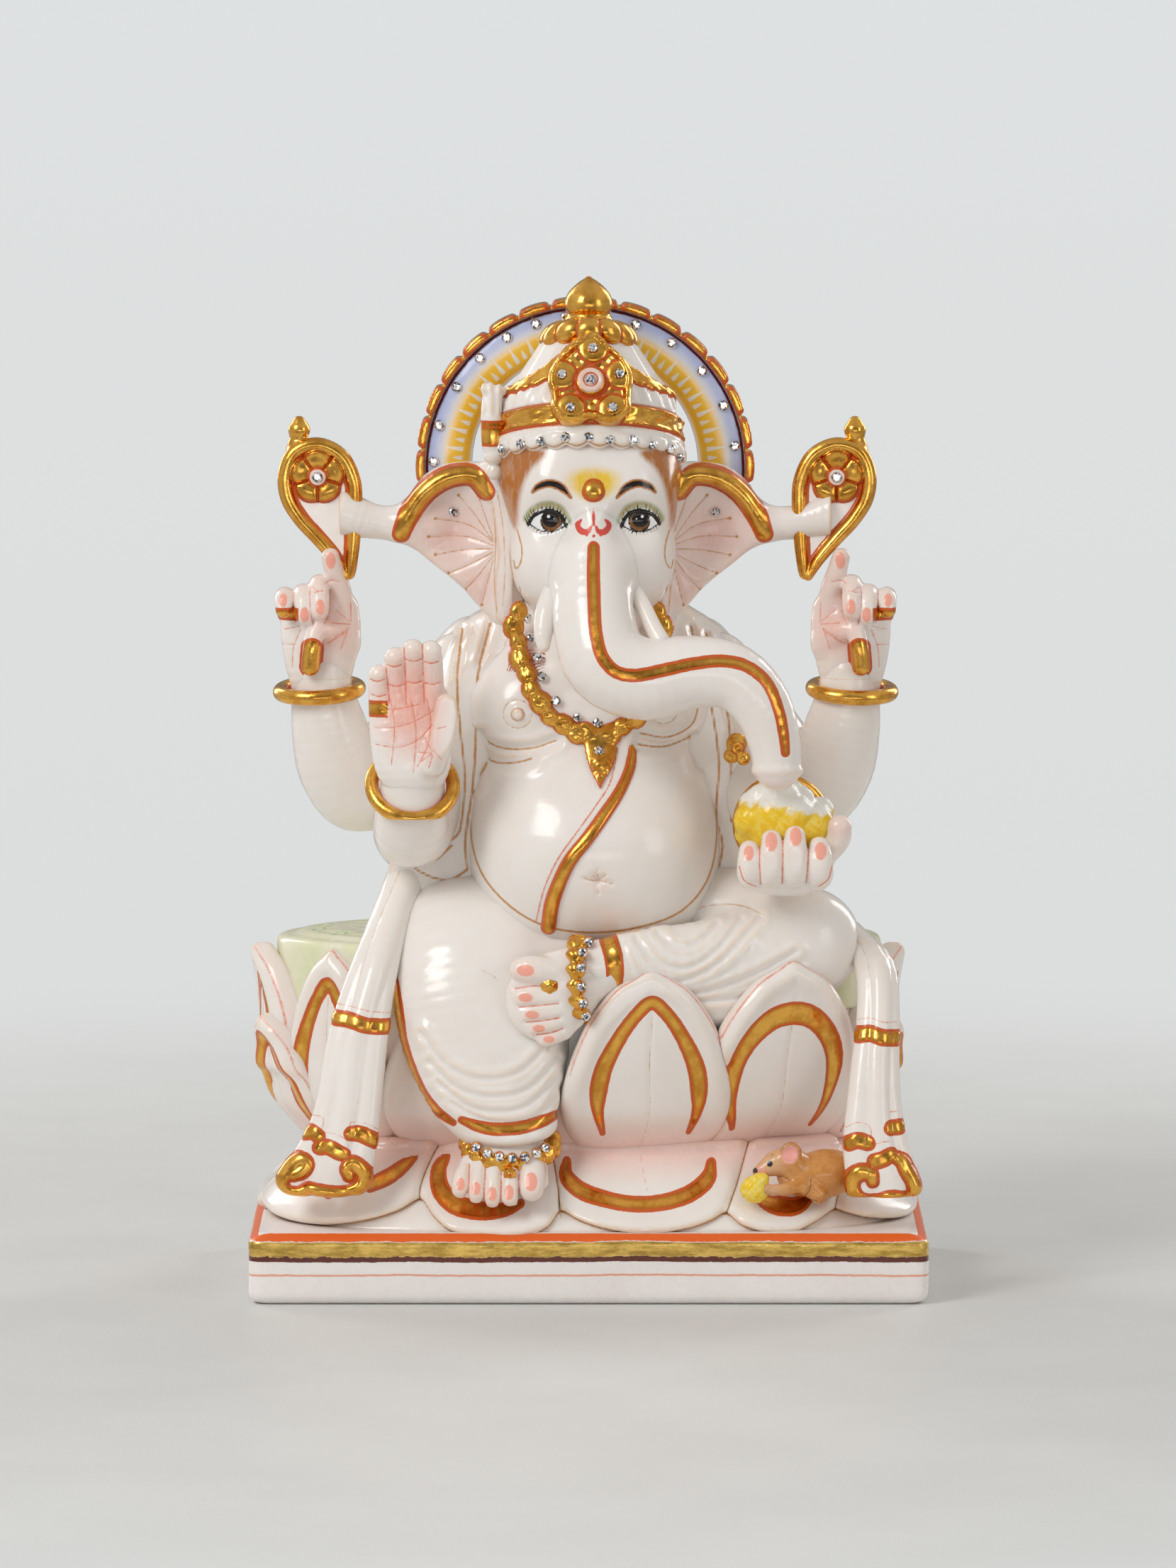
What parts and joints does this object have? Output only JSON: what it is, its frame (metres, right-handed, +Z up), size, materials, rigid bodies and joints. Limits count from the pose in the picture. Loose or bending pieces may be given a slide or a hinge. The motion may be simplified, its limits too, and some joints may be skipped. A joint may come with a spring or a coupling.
{
  "type": "ganesha idol",
  "caption": "Seated four-armed elephant-headed deity in white marble on a lotus and plinth, with gold-leaf trim, serrated halo, crown, garland and mouse.",
  "frame": {"origin": "centre of the plinth's underside", "axes": "+Z up, the idol faces -Y, +X is the idol's left"},
  "size_m": [0.203, 0.12, 0.304],
  "materials": {
    "white_marble": "polished white marble, faintly translucent",
    "gold_leaf": "burnished gold leaf on red ochre ground",
    "red_outline": "brushed orange-red enamel line",
    "crystal": "cut and foiled glass stone",
    "sweet_paint": "lemon enamel on white marble",
    "mouse_paint": "brown enamel, brushed",
    "pod_paint": "pale green tint with small green rings",
    "halo_paint": "lilac to white to yellow painted rays on marble"
  },
  "bodies": {
    "root": {"crown_band": "gold_leaf", "crown_bead_ring": "gold_leaf", "crown_dome": "white_marble", "crown_finial": "gold_leaf", "crown_medallion": "gold_leaf", "ground_petal_1": "white_marble", "ground_petal_2": "white_marble", "ground_petal_3": "white_marble", "ground_petal_4": "white_marble", "ground_petal_5": "white_marble", "halo": "halo_paint", "head": "white_marble", "left_anklet": "gold_leaf", "left_arm": "white_marble", "left_bangle": "gold_leaf", "left_ear": "white_marble", "left_foot": "white_marble", "left_hand": "white_marble", "left_leg": "white_marble", "left_tusk": "white_marble", "lotus_bowl": "white_marble", "lotus_mound": "white_marble", "lotus_petal_back_left": "white_marble", "lotus_petal_back_right": "white_marble", "lotus_petal_front": "white_marble", "lotus_petal_front_left": "white_marble", "lotus_petal_front_right": "white_marble", "lotus_petal_left_back": "white_marble", "lotus_petal_left_side": "white_marble", "lotus_petal_right_back": "white_marble", "lotus_petal_right_corner": "white_marble", "lotus_petal_right_side": "white_marble", "medallion_stone": "crystal", "modak_sweets": "sweet_paint", "mouse": "mouse_paint", "necklace": "gold_leaf", "plinth": "white_marble", "rear_left_arm": "white_marble", "rear_left_bangle": "gold_leaf", "rear_left_emblem": "gold_leaf", "rear_left_hand": "white_marble", "rear_right_arm": "white_marble", "rear_right_bangle": "gold_leaf", "rear_right_emblem": "gold_leaf", "rear_right_hand": "white_marble", "right_anklet": "gold_leaf", "right_arm": "white_marble", "right_bangle": "gold_leaf", "right_ear": "white_marble", "right_foot": "white_marble", "right_hand": "white_marble", "right_leg": "white_marble", "right_tusk": "white_marble", "sacred_thread": "gold_leaf", "seed_pod": "pod_paint", "shawl": "white_marble", "shawl_tail_left": "white_marble", "shawl_tail_right": "white_marble", "torso": "white_marble", "trunk": "white_marble"}
  },
  "joints": []
}
